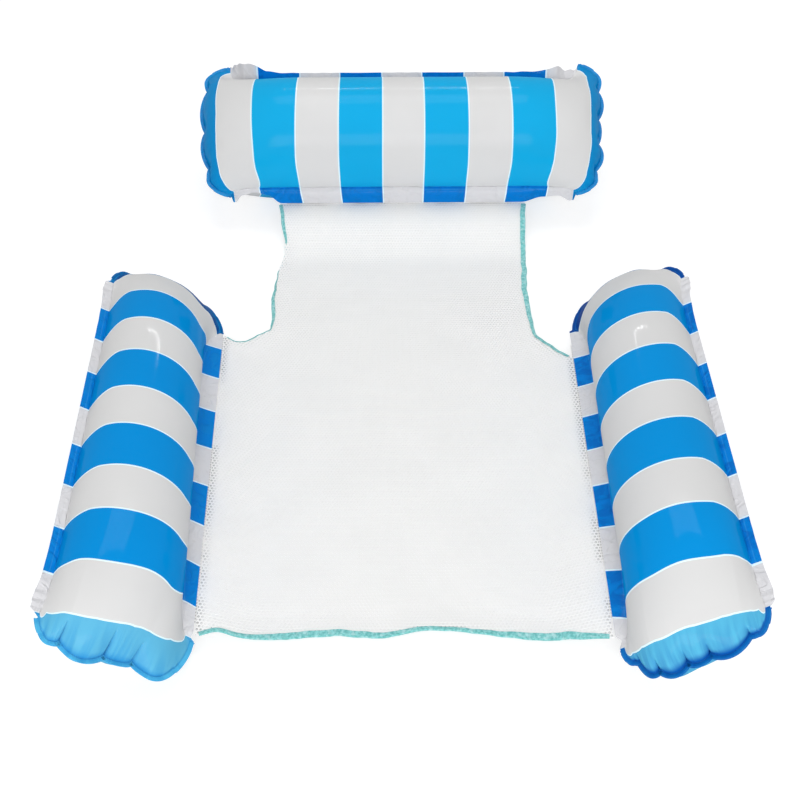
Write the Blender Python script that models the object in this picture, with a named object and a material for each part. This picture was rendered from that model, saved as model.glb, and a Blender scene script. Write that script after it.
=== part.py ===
"""Inflatable pool chair: three striped floats joined by a net sling, standing on the floor.

Each float is a bag of two films, welded along both long sides and puckered across both ends. The net is clamped
between the inner flanges of the two arm floats and in the front flange of the head float, and its free edges are
bound with tape. The frame is +Z up, +Y from the front edge of the seat to the head float, origin on the floor.
"""

import math

import bmesh
import bpy
import numpy as np
from mathutils import Matrix, Vector

# Sizes that all the floats share, in metres.
film = 0.0004
touch_gap = 0.0003
floor_flat = 0.0005
weld_margin = 0.006
outer_flange = 0.012
inner_flange = 0.026
hem_proud = 0.0015
flange_tail = 0.048

# Arm floats.
arm_radius = 0.069
arm_straight = 0.174
arm_reach = 0.334
arm_hem_half_width = 0.0785
arm_hem_offset = 0.008
arm_notch = 0.016
arm_flange_share = 0.9506
arm_flange_half_length = arm_flange_share * arm_reach

# Head float.
head_radius = 0.0964
head_straight = 0.180
head_reach = 0.330
head_hem_half_width = 0.12675
head_hem_offset = -0.0218
head_notch = 0.018
head_flange_half_length = 0.240

# Where the floats lie: their roll, the slope of the clamping flange, and the mid points of their hinge lines.
arm_roll = math.radians(32)
head_roll = math.radians(22)
arm_flange_slope = math.radians(20)
head_flange_slope = math.radians(84)
left_yaw = math.radians(-87.7)
right_yaw = math.radians(89.7)
head_yaw = math.radians(180.6)
seat_half_width = 0.2395
left_mid = 0.2511
right_mid = 0.2431
head_line = 0.3489
head_offset = 0.005
chair_offset = 0.0047

# Net and its tape. The seat panel runs from the front edge to the seam, the neck panel from there to the head.
net_thick = 0.0012
hinge_gap = 0.00095
hem_depth = 0.0125
front_edge_share = 0.7793
front_edge = left_mid + front_edge_share * arm_reach
front_wave = 0.0275
seat_corner = 0.0616
armpit_depth = 0.084
seam_line = 0.1351
seam_gap = 0.0004
neck_half_width = 0.187
sag_width = 0.075
head_sag_width = 0.120
edge_lift = 0.0028
edge_lift_width = 0.035
tape_reach = 0.0075
tape_film = 0.0005
tape_clearance = 0.0008
tape_end_gap = 0.0045

# Valve: weld ring, well, stem, flap, plug and tether, all turned about the valve's axis.
valve_offset = 0.140
valve_turn = math.radians(38)
hole_radius = 0.0114
ring_outer = 0.0190
ring_inner = 0.0104
ring_thick = 0.0008
ring_clearance = 0.0008
well_radius = 0.0101
well_wall = 0.0008
well_top = 0.0022
well_depth = 0.0070
stem_radius = 0.0060
stem_bore = 0.0040
stem_top = 0.0026
stem_length = 0.0100
lip_radius = 0.0068
lip_height = 0.0012
plug_clearance = 0.0002
plug_pin_length = 0.0067
cap_radius = 0.0064
cap_height = 0.0014
flap_radius = 0.0056
flap_thick = 0.0005
tether_width = 0.0030
tether_thick = 0.0007
tether_bulge = 0.0018

# Shares, chosen by hand. An end of a float puckers at its creases, counted across the hem from -1 to 1.
hem_droop_share = 0.17
crease_shares = {
    "left": ((-0.55, -0.08, 0.42), (-0.51, 0.03, 0.32)),
    "right": ((-0.56, -0.06, 0.24, 0.62), (-0.50, -0.05, 0.45)),
    "head": ((-0.53, -0.12, 0.25, 0.61), (-0.58, 0.02, 0.55)),
}
crease_depth_share = 0.62
end_row_shares = (0.30, 0.56, 0.76, 0.92)
clamp_share = 0.50
arm_bend_share = 0.30
head_bend_share = 0.55
left_neck_shares = ((0.0, 1.01), (0.09, 1.0), (0.25, 1.02), (0.5, 1.005), (0.65, 0.963), (0.75, 0.97), (0.85, 1.0),
                    (1.0, 1.03))
right_neck_shares = ((0.0, 1.035), (0.1, 1.027), (0.34, 1.019), (0.5, 1.035), (0.65, 1.042), (0.82, 1.05),
                     (1.0, 1.07))
left_armpit_shares = ((0.0, 0.0), (0.13, 0.11), (0.34, 0.32), (0.54, 0.51), (0.65, 0.54), (0.76, 0.55),
                      (0.88, 0.49), (1.0, 0.44))
right_armpit_shares = ((0.0, 0.0), (0.04, 0.29), (0.15, 0.35), (0.36, 0.57), (0.46, 0.63), (0.66, 0.83),
                       (0.88, 0.97), (1.0, 1.0))
front_wave_shares = (0.13, 0.28, 0.47, 0.5, 0.45, 0.47, 0.69, 0.49, 0.99, 0.84, 0.52, 0.39, 0.2, 0.13, 0.05, 0.0)
seat_row_shares = (0.0, 0.016, 0.10, 0.30, 0.50, 0.70, 0.88, 0.984, 1.0)
neck_column_shares = (0.0, 0.024, 0.2, 0.4, 0.6, 0.8, 0.976, 1.0)
neck_row_shares = (0.0, 0.18, 0.36, 0.54, 0.72, 0.88, 1.0)

round_sides = 20
pucker_columns = 20
armpit_columns = 4
neck_columns = len(neck_column_shares) - 1
collar_rows = 2

colours = {
    "print": (0.03, 0.36, 0.80),
    "white": (0.86, 0.87, 0.88),
    "net": (0.90, 0.90, 0.89),
    "tape": (0.29, 0.66, 0.62),
    "valve": (0.80, 0.82, 0.84),
}
finish_shares = {"print": 0.28, "white": 0.30, "net": 0.85, "tape": 0.90, "valve": 0.35}


def clear_scene():
    for item in list(bpy.data.objects):
        bpy.data.objects.remove(item, do_unlink=True)


def make_material(node, kind):
    material = bpy.data.materials.new(node)
    material.use_nodes = True
    shader = material.node_tree.nodes["Principled BSDF"]
    shader.inputs["Base Color"].default_value = (*colours[kind], 1.0)
    shader.inputs["Roughness"].default_value = finish_shares[kind]
    shader.inputs["Metallic"].default_value = 0.0
    material.diffuse_color = (*colours[kind], 1.0)
    return material


def add_empty(name, location, turn, parent=None):
    """An empty that carries the pieces of one float or one valve. turn is a 3 by 3 matrix."""
    frame = bpy.data.objects.new(name, None)
    frame.matrix_local = Matrix.Translation(location) @ turn.to_4x4()
    frame.parent = parent
    bpy.context.scene.collection.objects.link(frame)
    return frame


def add_piece(name, mesh, kind, parent=None):
    piece = bpy.data.objects.new(name, mesh)
    piece.parent = parent
    piece.data.materials.append(make_material(name, kind))
    piece.data.shade_smooth()
    piece.data.set_sharp_from_angle(angle=math.radians(40))
    bpy.context.scene.collection.objects.link(piece)
    return piece


def mesh_from(name, points, faces):
    mesh = bpy.data.meshes.new(name)
    mesh.from_pydata([tuple(p) for p in points], [], faces)
    shape = bmesh.new()
    shape.from_mesh(mesh)
    bmesh.ops.recalc_face_normals(shape, faces=shape.faces)
    shape.to_mesh(mesh)
    shape.free()
    return mesh


def layered_mesh(name, under, over, cells=None):
    """A closed thin piece between two grids of points, with a rim wherever a cell of the grid has no neighbour."""
    rows, columns = under.shape[:2]
    if cells is None:
        cells = np.ones((rows - 1, columns - 1), bool)
    number = np.arange(rows * columns).reshape(rows, columns)
    faces = []
    edges = {}
    for i, j in zip(*np.nonzero(cells)):
        ring = [number[i, j], number[i, j + 1], number[i + 1, j + 1], number[i + 1, j]]
        faces.append([int(k) for k in ring])
        faces.append([int(k) + rows * columns for k in (ring[0], ring[3], ring[2], ring[1])])
        for a, b in zip(ring, ring[1:] + ring[:1]):
            edges[(int(a), int(b))] = True
    for a, b in edges:
        if (b, a) not in edges:
            faces.append([b, a, a + rows * columns, b + rows * columns])
    points = np.concatenate([under.reshape(-1, 3), over.reshape(-1, 3)])
    used = sorted({k for face in faces for k in face})
    place = {k: n for n, k in enumerate(used)}
    return mesh_from(name, points[used], [[place[k] for k in face] for face in faces])


def turned_mesh(name, outline):
    """A ring turned about Z from a closed outline of (radius, height) pairs. A radius of zero is a pole."""
    shape = bmesh.new()
    rings = []
    for radius, height in outline:
        if radius == 0:
            rings.append([shape.verts.new((0, 0, height))])
            continue
        turn = 2 * math.pi / round_sides
        rings.append([shape.verts.new((radius * math.cos(k * turn), radius * math.sin(k * turn), height))
                      for k in range(round_sides)])
    for first, second in zip(rings, rings[1:] + rings[:1]):
        for k in range(round_sides):
            corners = [first[k % len(first)], first[(k + 1) % len(first)],
                       second[(k + 1) % len(second)], second[k % len(second)]]
            face = list(dict.fromkeys(corners))
            if len(face) > 2:
                shape.faces.new(face)
    bmesh.ops.recalc_face_normals(shape, faces=shape.faces)
    mesh = bpy.data.meshes.new(name)
    shape.to_mesh(mesh)
    shape.free()
    return mesh


def fade(share):
    """Falls smoothly from one at zero to nothing at one."""
    share = np.clip(share, 0, 1)
    return (1 - share) ** 2 * (1 + 2 * share)


def grid_normals(grid):
    """Unit normals of a grid of points, from the differences along its rows and columns."""
    along = np.gradient(grid, axis=0)
    across = np.gradient(grid, axis=1)
    normal = np.cross(along, across)
    return normal / np.linalg.norm(normal, axis=2, keepdims=True)


class Float:
    """One inflated float. Its own axes are +X along it, +Y to the net and +Z up, with the origin on the hinge line."""

    def __init__(self, name, place, yaw):
        arm = name != "head"
        self.name = name
        self.place = place
        self.yaw = yaw
        self.radius = arm_radius if arm else head_radius
        self.straight = arm_straight if arm else head_straight
        self.reach = arm_reach if arm else head_reach
        self.hem_half_width = arm_hem_half_width if arm else head_hem_half_width
        self.hem_offset = arm_hem_offset if arm else head_hem_offset
        self.notch = arm_notch if arm else head_notch
        self.flange_half_length = arm_flange_half_length if arm else head_flange_half_length
        self.roll = arm_roll if arm else head_roll
        self.slope = arm_flange_slope if arm else head_flange_slope
        self.creases = crease_shares[name]
        self.valve_x = valve_offset if name != "left" else -valve_offset
        self.height = self.radius + film - floor_flat
        near, far = clamp_share * inner_flange, (1 - clamp_share) * inner_flange + hem_proud
        bend_share = arm_bend_share if arm else head_bend_share
        self.near_slope = self.roll + (self.slope - self.roll) * bend_share
        self.back = (self.radius * math.cos(self.roll) + near * math.cos(self.near_slope)
                     + far * math.cos(self.slope))
        self.hinge_height = (self.height - self.radius * math.sin(self.roll)
                             - near * math.sin(self.near_slope) - far * math.sin(self.slope))
        location = Vector((place[0], place[1], self.hinge_height))
        self.frame = add_empty(name + "_float_frame", location, Matrix.Rotation(yaw, 3, "Z"))
        span = self.reach - self.straight
        turn = np.linspace(0, math.pi / 2, 200)
        step = np.hypot(span * np.cos(turn), self.radius * np.sin(turn))
        self.arc = np.concatenate([[0], np.cumsum((step[1:] + step[:-1]) / 2 * np.diff(turn))])
        self.turn = turn
        self.flat_half_length = self.straight + self.arc[-1]

    def local(self, along, across, out):
        """From the bag's own section, across to the inner seam and out square to the seams, to the float's axes."""
        cos, sin = math.cos(self.roll), math.sin(self.roll)
        y = across * cos + out * sin - self.back
        z = out * cos - across * sin + self.height - self.hinge_height
        return np.stack([along, y, z], axis=-1)

    def pucker(self, share, end):
        """How full the bag is across one end: one on a lobe and nothing in a crease, with the columns' own warp."""
        marks = [-1.0, *self.creases[end], 1.0]
        count = len(marks) - 1
        place = (share + 1) / 2 * count
        warped = np.interp(place, np.arange(count + 1), marks)
        lobe = np.sqrt(np.abs(np.sin(math.pi * place)))
        lobe = np.where(np.abs(share) > 1 - 1 / count / 2, 1.0, lobe)
        return warped, lobe

    def bag(self, x, share):
        """Along, across and out of the inner face of one film, x metres from the middle of the flat film.

        share runs from -1 at the outer seam to 1 at the inner seam. The bag is round in the middle, its crest falls
        along a quarter ellipse to each hem, and there it spreads flat and puckers.
        """
        end = np.where(x < 0, 0, 1)
        past = np.clip(np.abs(x) - self.straight, 0, self.arc[-1])
        turn = np.interp(past, self.arc, self.turn)
        closing = 1 - fade(past / self.arc[-1])
        warped_0, lobe_0 = self.pucker(share, 0)
        warped_1, lobe_1 = self.pucker(share, 1)
        warped = np.where(end == 0, warped_0, warped_1)
        lobe = np.where(end == 0, lobe_0, lobe_1)
        reach = self.reach * (1 - hem_droop_share * np.abs(share) ** 3)
        reach = reach - self.notch * (1 - lobe) * closing ** 3
        along = np.minimum(np.abs(x), self.straight) + (reach - self.straight) * np.sin(turn)
        round_across = self.radius * np.sin(share * math.pi / 2)
        flare = closing ** 2
        across = (1 - flare) * round_across + flare * (self.hem_half_width * warped + self.hem_offset)
        out = self.radius * np.cos(turn) * np.cos(share * math.pi / 2)
        out = out * (1 - crease_depth_share * (1 - lobe) * closing ** 2)
        return np.sign(x) * along, across, out

    def rows(self):
        """Places along the flat film: the hem's edge, the hem, the closing end, and the straight middle."""
        ends = [self.straight + share * self.arc[-1] for share in end_row_shares]
        half = [self.straight, *ends, self.flat_half_length, self.flat_half_length + weld_margin]
        return np.array([-x for x in reversed(half)] + [0.0] + half)

    def narrowing(self, seam):
        """How much of the inner flange's width is left where the seam has swelled out to seam."""
        near_turn, far_turn = self.roll - self.near_slope, self.roll - self.slope
        near, far = clamp_share * inner_flange, (1 - clamp_share) * inner_flange
        width = near * math.cos(near_turn) + far * math.cos(far_turn)
        return np.maximum((self.radius + width - seam) / width, 0)

    def flange(self, x, seam, part, side):
        """Across and out of one face of the inner flange, at x on the flat film: part 0 is its bend, part 1 its tip.

        The tip stays on the net's straight line while the seam swells towards it near the ends, and the bend moves
        up with the seam. From the bend on, the flange is open wide enough to hold the net's hem.
        """
        held = fade((np.abs(x) - self.flange_half_length) / flange_tail)
        near_turn, far_turn = self.roll - self.near_slope, self.roll - self.slope
        near, far = clamp_share * inner_flange, (1 - clamp_share) * inner_flange
        tip = self.radius + near * math.cos(near_turn) + far * math.cos(far_turn)
        far = far * (1 - part) * self.narrowing(seam)
        across = tip - far * math.cos(far_turn)
        out = near * math.sin(near_turn) + (1 - clamp_share) * inner_flange * math.sin(far_turn)
        out = out - far * math.sin(far_turn)
        tilt = far_turn if part > 0 else (near_turn + far_turn) / 2
        half = side * (net_thick / 2 + touch_gap)
        across = across - half * math.sin(tilt)
        out = out + half * math.cos(tilt)
        free = seam + weld_margin * (1 + part) / 2
        return held * across + (1 - held) * free, held * out + (1 - held) * side * touch_gap / 2

    def film_grid(self, side):
        """Points of a film's inner face, flanges and hems included. side is 1 for the upper film, -1 for the lower."""
        shares = list(np.linspace(-1, 1, pucker_columns + 1))
        if side < 0:
            shares.append(self.roll / (math.pi / 2))
        x, share = np.meshgrid(self.rows(), np.array(sorted(shares)), indexing="ij")
        along, across, out = self.bag(x, share)
        past = np.abs(x) > self.flat_half_length + weld_margin / 2
        along = along + np.where(past, np.sign(x) * weld_margin, 0)
        out = side * (out + touch_gap / 2)
        columns = [self.local(along, across, out)]
        held = fade((np.abs(x[:, :1]) - self.flange_half_length) / flange_tail)
        edge = across[:, :1] - weld_margin - (outer_flange - weld_margin) * held
        columns.insert(0, self.local(along[:, :1], edge, out[:, :1]))
        for part in (0.0, 1.0):
            columns.append(self.local(along[:, -1:], *self.flange(x[:, :1], across[:, -1:], part, side)))
        return np.concatenate(columns, axis=1)

    def film_mesh(self, name, side):
        """One film as a thin closed piece, pressed flat where it stands on the floor."""
        inner = self.film_grid(side)
        outer = inner + side * film * grid_normals(inner)
        floor = -self.hinge_height
        outer[..., 2] = np.maximum(outer[..., 2], floor)
        inner[..., 2] = np.where(outer[..., 2] == floor, floor + film, inner[..., 2])
        if side > 0:
            return layered_mesh(name, inner, outer)
        return layered_mesh(name, outer, inner)

    def hem_mesh(self, name, start, end):
        """The net's hem, clamped in the straight run of the inner flange from start to end along the float."""
        along, seam, out = self.bag(self.rows(), np.array(1.0))
        straight = along[np.abs(self.rows()) <= self.flange_half_length]
        start, end = max(start, straight.min()), min(end, straight.max())
        x = np.array([start, *along[(along > start) & (along < end)], end])
        depth = hem_depth * np.interp(x, along, self.narrowing(seam))
        x, depth = np.stack([x, x], axis=1), np.stack([depth, 0 * depth], axis=1)
        cos, sin = math.cos(self.slope), math.sin(self.slope)
        middle = np.stack([x, -depth * cos, depth * sin], axis=-1)
        half = net_thick / 2 * np.array([0, sin, cos])
        return layered_mesh(name, middle - half, middle + half)

    def valve_frame(self):
        """An empty on the lower film's outer face, low on the outer side, with +Z out of the float."""
        share = -1 + valve_turn / (math.pi / 2)
        turn = share * math.pi / 2
        radius = self.radius + film
        place = self.local(np.array(self.valve_x), np.array(radius * math.sin(turn)),
                           np.array(-radius * math.cos(turn)))
        out = self.local(np.array(0.0), np.array(math.sin(turn)), np.array(-math.cos(turn)))
        out = Vector(out - self.local(np.array(0.0), np.array(0.0), np.array(0.0)))
        side = out.cross(Vector((1, 0, 0)))
        axes = Matrix((Vector((1, 0, 0)), side, out)).transposed()
        return add_empty(self.name + "_valve_frame", Vector(place), axes, self.frame)


def add_films(bag):
    """The upper and the lower film of a float, and the hole for its valve."""
    upper = bag.film_mesh(bag.name + "_upper_film", 1)
    add_piece(bag.name + "_upper_film", upper, "print", bag.frame)
    lower = add_piece(bag.name + "_lower_film", bag.film_mesh(bag.name + "_lower_film", -1), "print", bag.frame)
    valve = bag.valve_frame()
    cutter_name = bag.name + "_valve_hole_cutter"
    reach = ring_outer
    outline = [(0, -reach), (hole_radius, -reach), (hole_radius, reach), (0, reach)]
    cutter = bpy.data.objects.new(cutter_name, turned_mesh(cutter_name, outline))
    cutter.parent = valve
    cutter.hide_render = True
    cutter.display_type = "WIRE"
    bpy.context.scene.collection.objects.link(cutter)
    hole = lower.modifiers.new("valve_hole", "BOOLEAN")
    hole.operation = "DIFFERENCE"
    hole.object = cutter
    return valve


def add_valve(bag, valve):
    """Weld ring and well on the float, and the stem, flap, tether and plug that come out of it."""
    name = bag.name + "_valve_"
    top = -film - ring_clearance
    ring = turned_mesh(name + "ring", [(ring_inner, top - ring_thick), (ring_outer, top - ring_thick),
                                       (ring_outer, top), (ring_inner, top)])
    for corner in ring.vertices:
        corner.co.z -= bag.radius - math.sqrt(bag.radius ** 2 - corner.co.y ** 2)
    add_piece(name + "ring", ring, "valve", valve)
    floor = -well_top - well_depth
    inside = well_radius - well_wall
    throat = stem_radius + touch_gap
    well = [(throat, floor), (well_radius, floor), (well_radius, -well_top), (inside, -well_top),
            (inside, floor + well_wall), (throat, floor + well_wall)]
    add_piece(name + "well", turned_mesh(name + "well", well), "valve", valve)

    low = -stem_top - stem_length
    under_lip = -stem_top - lip_height
    stem = [(stem_bore, low), (stem_radius, low), (stem_radius, under_lip), (lip_radius, under_lip),
            (lip_radius, -stem_top), (stem_bore, -stem_top)]
    add_piece(name + "stem", turned_mesh(name + "stem", stem), "valve", valve)
    flap_top = low - touch_gap
    flap = [(0, flap_top - flap_thick), (flap_radius, flap_top - flap_thick), (flap_radius, flap_top),
            (0, flap_top)]
    add_piece(name + "flap", turned_mesh(name + "flap", flap), "valve", valve)

    cap_low = -stem_top + touch_gap
    pin_radius = stem_bore - plug_clearance
    plug = [(0, cap_low - plug_pin_length), (pin_radius, cap_low - plug_pin_length), (pin_radius, cap_low),
            (cap_radius, cap_low), (cap_radius, cap_low + cap_height), (0, cap_low + cap_height)]
    add_piece(name + "plug", turned_mesh(name + "plug", plug), "valve", valve)
    outline = tether_outline(under_lip, cap_low + cap_height)
    add_piece(name + "tether", tether_mesh(name + "tether", outline), "valve", valve)


def tether_outline(low, high):
    """Side view of the bent strip from the stem's lip to the plug's cap, as (along, out) pairs."""
    root = lip_radius + touch_gap
    far = root + tether_bulge
    tip = cap_radius + touch_gap
    return [(root, low), (far, low), (far, high), (tip, high), (tip, high - tether_thick),
            (far - tether_thick, high - tether_thick), (far - tether_thick, low + tether_thick),
            (root, low + tether_thick)]


def tether_mesh(name, outline):
    half = tether_width / 2
    points = [(x, y, z) for y in (-half, half) for x, z in outline]
    count = len(outline)
    sides = [[k, (k + 1) % count, (k + 1) % count + count, k + count] for k in range(count)]
    return mesh_from(name, points, [list(range(count)), [k + count for k in reversed(range(count))], *sides])


class Sling:
    """The net between the floats, in the chair's own axes."""

    def __init__(self, left, right, head):
        self.left, self.right, self.head = left, right, head

    def side_line(self, bag, y):
        """Where an arm float's hinge line is, across the chair, at y."""
        return bag.place[0] + (y - bag.place[1]) / math.tan(bag.yaw)

    def head_side(self, x):
        return self.head.place[1] + (x - self.head.place[0]) * math.tan(self.head.yaw)

    def neck_side(self, sign, y):
        shares = left_neck_shares if sign < 0 else right_neck_shares
        place = (y - seat_corner) / (head_line - seat_corner)
        return chair_offset + sign * neck_half_width * np.interp(place, *zip(*shares))

    def armpit(self, sign, place):
        """The free edge's place along the chair, by its place across the armpit: 0 at the neck and 1 at the arm."""
        shares = left_armpit_shares if sign < 0 else right_armpit_shares
        return seat_corner - armpit_depth * np.interp(place, *zip(*shares))

    def seat_plan(self):
        """Plan of the seat panel: rows from the front edge, columns across, and a collar that runs up to the seam."""
        across = 2 * armpit_columns + neck_columns
        neck = range(armpit_columns, armpit_columns + neck_columns + 1)
        corners = [float(self.neck_side(sign, seat_corner)) for sign in (-1, 1)]
        rows = []
        for share in seat_row_shares:
            row = []
            for k in range(across + 1):
                marks = np.linspace(0, 1, len(front_wave_shares))
                front = front_edge - front_wave * np.interp(k / across, marks, front_wave_shares)
                top = seat_corner
                if k < armpit_columns:
                    top = self.armpit(-1, 1 - k / armpit_columns)
                if k > neck[-1]:
                    top = self.armpit(1, (k - neck[-1]) / armpit_columns)
                y = -front + (top + front) * share
                left = self.side_line(self.left, y) + hinge_gap
                right = self.side_line(self.right, y) - hinge_gap
                x = np.interp(k, [0, neck[0]], [left, corners[0]])
                if k >= neck[0]:
                    x = np.interp(k, [neck[-1], across], [corners[1], right])
                if k in neck:
                    x = corners[0] + (corners[1] - corners[0]) * neck_column_shares[k - neck[0]]
                row.append((x, y))
            rows.append(row)
        for step in range(1, collar_rows + 1):
            y = seat_corner + (seam_line - seam_gap / 2 - seat_corner) * step / collar_rows
            sides = [self.neck_side(sign, y) for sign in (-1, 1)]
            shares = np.interp(range(across + 1), neck, neck_column_shares)
            rows.append([(sides[0] + (sides[1] - sides[0]) * part, y) for part in shares])
        cells = np.ones((len(rows) - 1, across), bool)
        cells[len(seat_row_shares) - 1:, :neck[0]] = False
        cells[len(seat_row_shares) - 1:, neck[-1]:] = False
        return np.array(rows), cells

    def neck_plan(self):
        """Plan of the neck panel, from the seam to the head float's hinge line."""
        rows = []
        for share in neck_row_shares:
            row = []
            for k in range(neck_columns + 1):
                low = seam_line + seam_gap / 2
                top = head_line - hinge_gap
                y = low + (top - low) * share
                sides = [self.neck_side(sign, y) for sign in (-1, 1)]
                x = sides[0] + (sides[1] - sides[0]) * neck_column_shares[k]
                tilt = (self.head_side(x) - head_line) * share
                row.append((x, y + tilt))
            rows.append(row)
        return np.array(rows)

    def heights(self, plan, free_edge):
        """Height of the net's middle: flat on the floor, rising to the hinge lines and a little at the free edges."""
        x, y = plan[..., 0], plan[..., 1]
        base = net_thick / 2
        head = fade((self.head_side(x) - hinge_gap - y) / head_sag_width)
        arms = fade((x - self.side_line(self.left, y)) / sag_width)
        arms = arms + fade((self.side_line(self.right, y) - x) / sag_width)
        arms = arms * fade((y - seat_corner) / sag_width) * (1 - head)
        rise = arms * (self.left.hinge_height - base) + head * (self.head.hinge_height - base)
        near = np.linalg.norm(plan[..., None, :] - free_edge, axis=-1).min(axis=-1)
        lift = edge_lift * fade(near / edge_lift_width) * (1 - arms) * (1 - head)
        return np.concatenate([plan, (base + rise + lift)[..., None]], axis=-1)

    def free_edges(self, seat, neck):
        """The three free edges as (edge points, points further in), for the left side, the right side and the front."""
        first, last = armpit_columns, armpit_columns + neck_columns
        corner = len(seat_row_shares) - 1
        edges = []
        sides = ((first, 1, range(first - 1, -1, -1)), (last, -1, range(last + 1, seat.shape[1])))
        for column, inward, outward in sides:
            neck_column = 0 if inward > 0 else neck_columns
            edge = [neck[r, neck_column] for r in reversed(range(len(neck)))]
            within = [neck[r, neck_column + inward] for r in reversed(range(len(neck)))]
            for r in reversed(range(corner, len(seat) - 1)):
                edge.append(seat[r, column])
                within.append(seat[r - (r == corner), column + inward])
            edge += [seat[corner, k] for k in outward]
            within += [seat[corner - 1, k] for k in outward]
            edges.append((np.array(edge), np.array(within)))
        edges.append((seat[0], seat[1]))
        return edges

    def add_pieces(self):
        seat, cells = self.seat_plan()
        neck = self.neck_plan()
        free = np.concatenate([edge for edge, within in self.free_edges(seat, neck)])
        seat = self.heights(seat, free)
        neck = self.heights(neck, free)
        half = np.array([0, 0, net_thick / 2])
        add_piece("seat_net", layered_mesh("seat_net", seat - half, seat + half, cells), "net")
        add_piece("neck_net", layered_mesh("neck_net", neck - half, neck + half), "net")
        names = ("left_edge_tape", "right_edge_tape", "front_edge_tape")
        for name, (edge, within) in zip(names, self.free_edges(seat, neck)):
            add_piece(name, tape_mesh(name, edge, within), "tape")


def tape_mesh(name, edge, within):
    """A tape folded over the net's free edge, cut short of the hinge lines at both ends."""
    slot = net_thick / 2 + tape_clearance
    out = tape_clearance + tape_film
    outline = [(-tape_reach, slot + tape_film), (out, slot + tape_film), (out, -slot - tape_film),
               (-tape_reach, -slot - tape_film), (-tape_reach, -slot), (tape_clearance, -slot),
               (tape_clearance, slot), (-tape_reach, slot)]
    ahead = np.gradient(edge, axis=0)
    ahead = ahead / np.linalg.norm(ahead, axis=1, keepdims=True)
    side = edge - within
    side = side - (side * ahead).sum(axis=1, keepdims=True) * ahead
    side = side / np.linalg.norm(side, axis=1, keepdims=True)
    up = np.cross(side, ahead)
    up = up * np.sign(up[:, 2:])
    edge = edge.copy()
    for end, step in ((0, 1), (-1, -1)):
        run = edge[end + step] - edge[end]
        edge[end] = edge[end] + run / np.linalg.norm(run) * tape_end_gap
    points = [p + across * s + high * u for p, s, u in zip(edge, side, up) for across, high in outline]
    count = len(outline)
    faces = []
    for start in range(0, count * (len(edge) - 1), count):
        for k in range(count):
            after = (k + 1) % count
            faces.append([start + k, start + after, start + after + count, start + k + count])
    for start in (0, count * (len(edge) - 1)):
        faces += [[start + k for k in cap] for cap in ((0, 1, 6, 7), (1, 2, 5, 6), (2, 3, 4, 5))]
    return mesh_from(name, points, faces)


def main():
    clear_scene()
    left = Float("left", (chair_offset - seat_half_width, -left_mid), left_yaw)
    right = Float("right", (chair_offset + seat_half_width, -right_mid), right_yaw)
    head = Float("head", (chair_offset + head_offset, head_line), head_yaw)
    for bag in (left, right, head):
        valve = add_films(bag)
        add_valve(bag, valve)
    sling = Sling(left, right, head)
    sling.add_pieces()

    # Each hem runs as far along its float as the net does.
    front = front_edge - front_wave
    left_far, right_far = (float(sling.armpit(sign, 1.0)) - tape_reach for sign in (-1, 1))
    add_piece("left_net_hem", left.hem_mesh("left_net_hem", -left_far - left_mid, front - left_mid), "net",
              left.frame)
    add_piece("right_net_hem", right.hem_mesh("right_net_hem", right_mid - front, right_mid + right_far), "net",
              right.frame)
    add_piece("head_net_hem", head.hem_mesh("head_net_hem", -neck_half_width, neck_half_width), "net", head.frame)
    bpy.context.view_layer.update()


main()
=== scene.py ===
"""Looks of an inflatable pool chair: striped floats, a net sling with taped edges, and air valves."""

import math
from functools import partial

import bpy
import numpy as np
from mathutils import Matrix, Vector


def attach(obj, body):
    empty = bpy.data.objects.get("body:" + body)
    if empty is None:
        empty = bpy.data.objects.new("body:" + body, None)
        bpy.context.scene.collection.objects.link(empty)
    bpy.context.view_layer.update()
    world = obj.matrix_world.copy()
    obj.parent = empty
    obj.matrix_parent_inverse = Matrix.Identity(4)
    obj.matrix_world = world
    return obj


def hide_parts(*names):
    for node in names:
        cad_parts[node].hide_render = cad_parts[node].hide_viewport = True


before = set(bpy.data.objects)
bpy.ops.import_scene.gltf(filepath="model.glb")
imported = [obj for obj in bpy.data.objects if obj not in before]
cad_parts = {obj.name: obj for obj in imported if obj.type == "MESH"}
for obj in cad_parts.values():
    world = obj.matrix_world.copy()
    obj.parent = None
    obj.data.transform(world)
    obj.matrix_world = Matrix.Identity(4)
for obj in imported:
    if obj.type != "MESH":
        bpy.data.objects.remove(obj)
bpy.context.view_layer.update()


# The studio: a white floor that keeps the chair's shadow, a white surround, and soft boxes behind, above and
# in front. The camera stands in front of the chair and looks down on the seat, as the photograph does.
def add_object(name, data):
    """A new object that holds data, in the scene."""
    thing = bpy.data.objects.new(name, data)
    bpy.context.scene.collection.objects.link(thing)
    return thing


camera = add_object("camera", bpy.data.cameras.new("camera"))
camera.location = (0.0047, -1.4026, 1.164)
camera.rotation_euler = (math.radians(90 - 41.54), 0, 0)
camera.data.lens = 57.69
camera.data.sensor_width = 36
bpy.context.scene.camera = camera
bpy.context.scene.view_settings.view_transform = "Standard"

floor_mesh = bpy.data.meshes.new("floor")
floor_half, floor_height = 6, -0.0006
floor_corners = [(across * floor_half, along * floor_half, floor_height)
                 for across, along in ((-1, -1), (1, -1), (1, 1), (-1, 1))]
floor_mesh.from_pydata(floor_corners, [], [(0, 1, 2, 3)])
studio_floor = add_object("studio_floor", floor_mesh)


def feed(tree, node, terms):
    """Gives a node's inputs their terms, by name or number: each is a socket to link, a colour of three
    numbers, or a plain value."""
    for name, term in terms.items():
        if isinstance(term, bpy.types.NodeSocket):
            tree.links.new(term, node.inputs[name])
        elif isinstance(term, tuple):
            node.inputs[name].default_value = (*term, 1)
        else:
            node.inputs[name].default_value = term


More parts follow.
